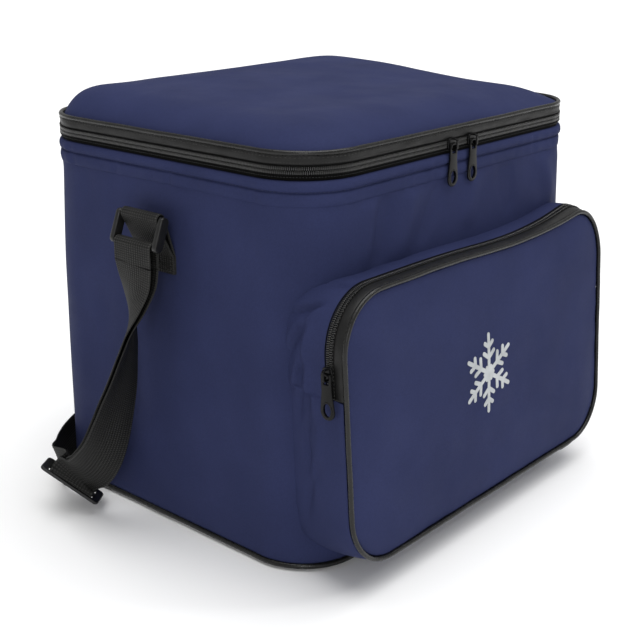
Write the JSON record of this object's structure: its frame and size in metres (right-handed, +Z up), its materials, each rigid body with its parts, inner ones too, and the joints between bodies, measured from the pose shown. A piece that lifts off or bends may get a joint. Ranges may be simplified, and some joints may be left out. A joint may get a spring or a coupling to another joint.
{
  "type": "insulated cooler bag",
  "caption": "Soft insulated cooler bag with a zipped padded lid, zipped front pocket, side rings and an adjustable shoulder strap.",
  "frame": {"origin": "middle of the flat base, on the ground", "axes": "+X to the bag's right seen from the front, +Y to its back, +Z up; the front pocket faces -Y"},
  "size_m": [0.4324, 0.3483, 0.3202],
  "materials": {
    "navy_nylon": "navy woven nylon, soft low sheen",
    "black_tape": "black woven zip tape and binding",
    "black_coil": "black moulded nylon coil",
    "black_piping": "black coated piping, satin",
    "black_webbing": "ribbed black polypropylene webbing",
    "black_plastic": "black moulded plastic, satin gloss",
    "black_metal": "black enamelled die cast zinc",
    "foam": "white closed cell foam",
    "silver_liner": "silver heat sealed foil film",
    "stiffener_board": "black plastic board"
  },
  "bodies": {
    "root": {"base_panel": "navy_nylon", "base_board": "stiffener_board", "base_piping": "black_piping", "outer_shell": "navy_nylon", "base_foam": "foam", "wall_foam": "foam", "inner_liner": "silver_liner", "top_hem": "navy_nylon", "body_zip_tape": "black_tape", "body_zip_chain": "black_coil", "back_hinge_strip": "black_tape", "pocket_gusset": "navy_nylon", "pocket_zip_chain": "black_coil", "pocket_front_panel": "navy_nylon", "pocket_front_piping": "black_piping", "side_tab_left": "black_webbing", "side_tab_right": "black_webbing", "shoulder_strap": "black_webbing", "strap_sewn_end": "black_webbing", "strap_fold_right": "black_webbing", "tri_glide": "black_plastic"},
    "lid": {"lid_zip_chain": "black_coil", "lid_side_band": "black_tape", "lid_piping": "black_piping", "lid_liner": "silver_liner", "lid_foam": "foam", "lid_panel": "navy_nylon"},
    "lid_slider_left": {"lid_slider_left": "black_metal"},
    "lid_pull_left": {"lid_pull_left": "black_metal"},
    "lid_slider_right": {"lid_slider_right": "black_metal"},
    "lid_pull_right": {"lid_pull_right": "black_metal"},
    "pocket_flap": {"pocket_flap_panel": "navy_nylon", "pocket_flap_piping": "black_piping", "pocket_zip_band": "black_tape", "flap_zip_chain": "black_coil"},
    "pocket_slider": {"pocket_slider": "black_metal"},
    "pocket_pull": {"pocket_pull": "black_metal"},
    "ring_left": {"strap_ring_left": "black_plastic", "strap_turn_left": "black_webbing"},
    "ring_right": {"strap_ring_right": "black_plastic", "strap_turn_right": "black_webbing"}
  },
  "joints": [
    {"name": "lid_hinge", "type": "hinge", "parent": "root", "child": "lid", "pos_m": [0, 0.147, 0.291], "axis": [-1, 0, 0], "range_deg": [0, 180]},
    {"name": "lid_slider_left_slide", "type": "slide", "parent": "root", "child": "lid_slider_left", "axis": [-1, 0, 0], "range_m": [0, 0.098]},
    {"name": "lid_pull_left_hinge", "type": "hinge", "parent": "lid_slider_left", "child": "lid_pull_left", "pos_m": [-0.0175, -0.1458, 0.291], "axis": [-1, 0, 0], "range_deg": [0, 150]},
    {"name": "lid_slider_right_slide", "type": "slide", "parent": "root", "child": "lid_slider_right", "axis": [1, 0, 0], "range_m": [0, 0.108]},
    {"name": "lid_pull_right_hinge", "type": "hinge", "parent": "lid_slider_right", "child": "lid_pull_right", "pos_m": [0.0075, -0.1458, 0.291], "axis": [-1, 0, 0], "range_deg": [0, 150]},
    {"name": "pocket_flap_hinge", "type": "hinge", "parent": "root", "child": "pocket_flap", "pos_m": [-0.01, -0.18147, 0.14972], "axis": [1, 0, 0], "range_deg": [0, 75]},
    {"name": "pocket_slider_turn", "type": "hinge", "parent": "root", "child": "pocket_slider", "pos_m": [-0.128, -0.16569, 0.17173], "axis": [0, 0.9978, -0.0659], "range_deg": [0, 60]},
    {"name": "pocket_pull_hinge", "type": "hinge", "parent": "pocket_slider", "child": "pocket_pull", "pos_m": [-0.1808, -0.16601, 0.16674], "axis": [0, 0.9978, -0.0659], "range_deg": [0, 95]},
    {"name": "ring_left_hinge", "type": "hinge", "parent": "root", "child": "ring_left", "pos_m": [-0.1855, 0.002, 0.2455], "axis": [0, 1, 0], "range_deg": [-10, 45]},
    {"name": "ring_right_hinge", "type": "hinge", "parent": "root", "child": "ring_right", "pos_m": [0.1855, 0.002, 0.2455], "axis": [0, -1, 0], "range_deg": [-10, 45]}
  ]
}
